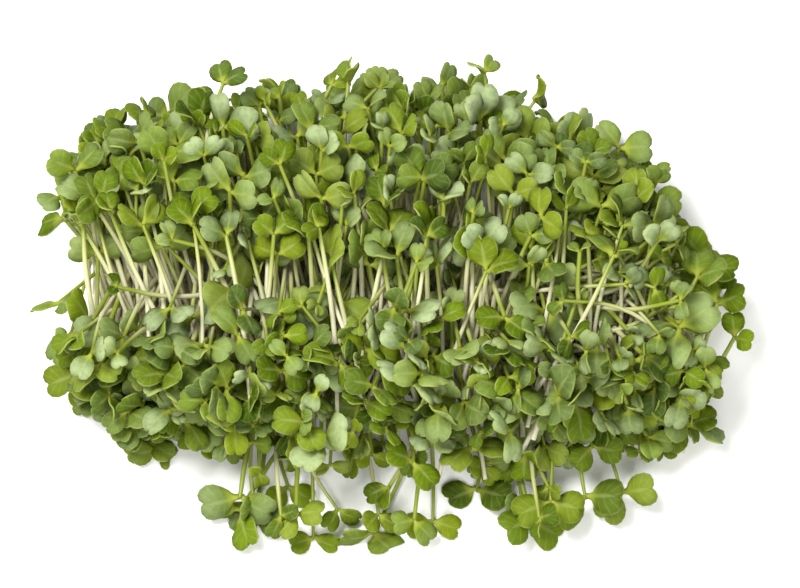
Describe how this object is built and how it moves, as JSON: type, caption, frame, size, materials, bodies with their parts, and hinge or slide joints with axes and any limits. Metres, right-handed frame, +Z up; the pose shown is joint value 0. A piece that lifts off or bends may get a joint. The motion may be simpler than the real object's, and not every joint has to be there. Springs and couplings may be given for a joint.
{
  "type": "heap of cut microgreens",
  "caption": "Loose heap of cut microgreens: pale stems laid cut end to cut end in two bunches, with pairs of notched heart-shaped seed leaves all round.",
  "frame": {"origin": "middle of the heap's footprint, on the surface that it lies on", "axes": "+X along the length of the heap, +Y from the near bunch towards the far bunch, +Z up"},
  "size_m": [0.2214, 0.1551, 0.0525],
  "materials": {
    "far_seedlings": "matte",
    "near_seedlings": "matte"
  },
  "bodies": {
    "root": {"far_sprig_02": "far_seedlings", "far_sprig_03": "far_seedlings", "far_sprig_04": "far_seedlings", "far_sprig_05": "far_seedlings", "far_sprig_06": "far_seedlings", "far_sprig_07": "far_seedlings", "far_sprig_08": "far_seedlings", "far_sprig_09": "far_seedlings", "far_sprig_10": "far_seedlings", "far_sprig_11": "far_seedlings", "far_sprig_12": "far_seedlings", "far_sprig_13": "far_seedlings", "far_sprig_14": "far_seedlings", "far_sprig_15": "far_seedlings", "far_sprig_16": "far_seedlings", "far_sprig_17": "far_seedlings", "far_sprig_18": "far_seedlings", "far_sprig_19": "far_seedlings", "far_sprig_20": "far_seedlings", "far_sprig_21": "far_seedlings", "far_sprig_22": "far_seedlings", "far_sprig_23": "far_seedlings", "far_sprig_24": "far_seedlings", "far_sprig_25": "far_seedlings", "far_sprig_26": "far_seedlings", "far_sprig_27": "far_seedlings", "far_sprig_28": "far_seedlings", "far_sprig_29": "far_seedlings", "near_sprig_01": "near_seedlings", "near_sprig_02": "near_seedlings", "near_sprig_03": "near_seedlings", "near_sprig_04": "near_seedlings", "near_sprig_05": "near_seedlings", "near_sprig_06": "near_seedlings", "near_sprig_07": "near_seedlings", "near_sprig_08": "near_seedlings", "near_sprig_09": "near_seedlings", "near_sprig_10": "near_seedlings", "near_sprig_11": "near_seedlings", "near_sprig_12": "near_seedlings", "near_sprig_13": "near_seedlings", "near_sprig_14": "near_seedlings", "near_sprig_15": "near_seedlings", "near_sprig_16": "near_seedlings", "near_sprig_17": "near_seedlings", "near_sprig_18": "near_seedlings", "near_sprig_19": "near_seedlings", "near_sprig_20": "near_seedlings", "near_sprig_21": "near_seedlings", "near_sprig_22": "near_seedlings", "near_sprig_23": "near_seedlings", "near_sprig_24": "near_seedlings", "near_sprig_25": "near_seedlings", "near_sprig_26": "near_seedlings", "near_sprig_27": "near_seedlings", "near_sprig_28": "near_seedlings", "near_sprig_29": "near_seedlings"}
  },
  "joints": []
}
